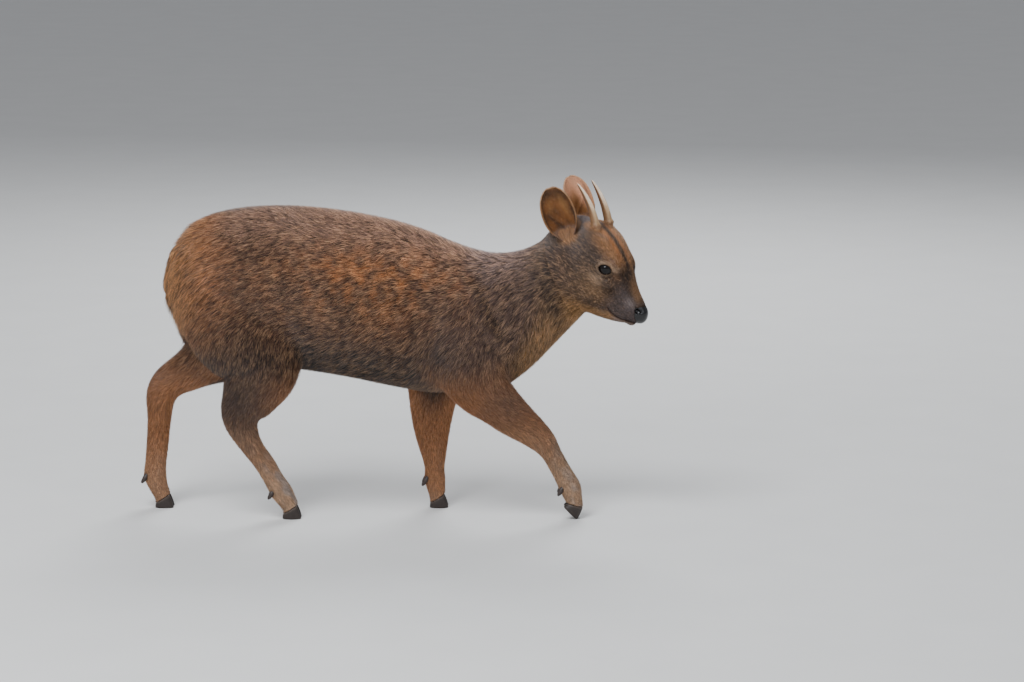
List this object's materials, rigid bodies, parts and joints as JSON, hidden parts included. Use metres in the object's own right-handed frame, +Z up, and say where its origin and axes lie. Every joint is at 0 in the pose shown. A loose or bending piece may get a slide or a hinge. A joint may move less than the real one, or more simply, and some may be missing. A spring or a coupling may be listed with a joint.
{
  "type": "southern pudu buck model",
  "caption": "Still life-size model of a small stocky deer, walking, with rounded ears and short plain spike antlers.",
  "frame": {"origin": "on the floor, at the bottom centre of the model's box", "axes": "+X the way the body faces, +Y to the animal's left, +Z up"},
  "size_m": [0.6928, 0.1666, 0.4643],
  "materials": {
    "coat_brown": "speckled brown fur",
    "coat_rufous": "tawny short fur",
    "ear_skin": "thin haired skin",
    "nose_black": "moist black skin",
    "eye_dark": "polished",
    "antler": "worn bone",
    "hoof": "satin horn"
  },
  "bodies": {
    "root": {"torso": "coat_brown", "neck": "coat_brown", "head": "coat_brown", "tail": "coat_rufous", "nose": "nose_black", "ear_left": "ear_skin", "eye_left": "eye_dark", "antler_left": "antler", "ear_right": "ear_skin", "eye_right": "eye_dark", "antler_right": "antler", "hindleg_left_thigh": "coat_rufous", "hindleg_left_cannon": "coat_rufous", "foreleg_left_arm": "coat_rufous", "foreleg_left_cannon": "coat_rufous", "hindleg_right_thigh": "coat_rufous", "hindleg_right_cannon": "coat_rufous", "foreleg_right_arm": "coat_rufous", "foreleg_right_cannon": "coat_rufous", "hoof_hind_left_inner": "hoof", "dewclaw_hind_left_inner": "hoof", "hoof_hind_left_outer": "hoof", "dewclaw_hind_left_outer": "hoof", "hoof_hind_right_inner": "hoof", "dewclaw_hind_right_inner": "hoof", "hoof_hind_right_outer": "hoof", "dewclaw_hind_right_outer": "hoof", "hoof_fore_left_inner": "hoof", "dewclaw_fore_left_inner": "hoof", "hoof_fore_left_outer": "hoof", "dewclaw_fore_left_outer": "hoof", "hoof_fore_right_inner": "hoof", "dewclaw_fore_right_inner": "hoof", "hoof_fore_right_outer": "hoof", "dewclaw_fore_right_outer": "hoof"}
  },
  "joints": []
}
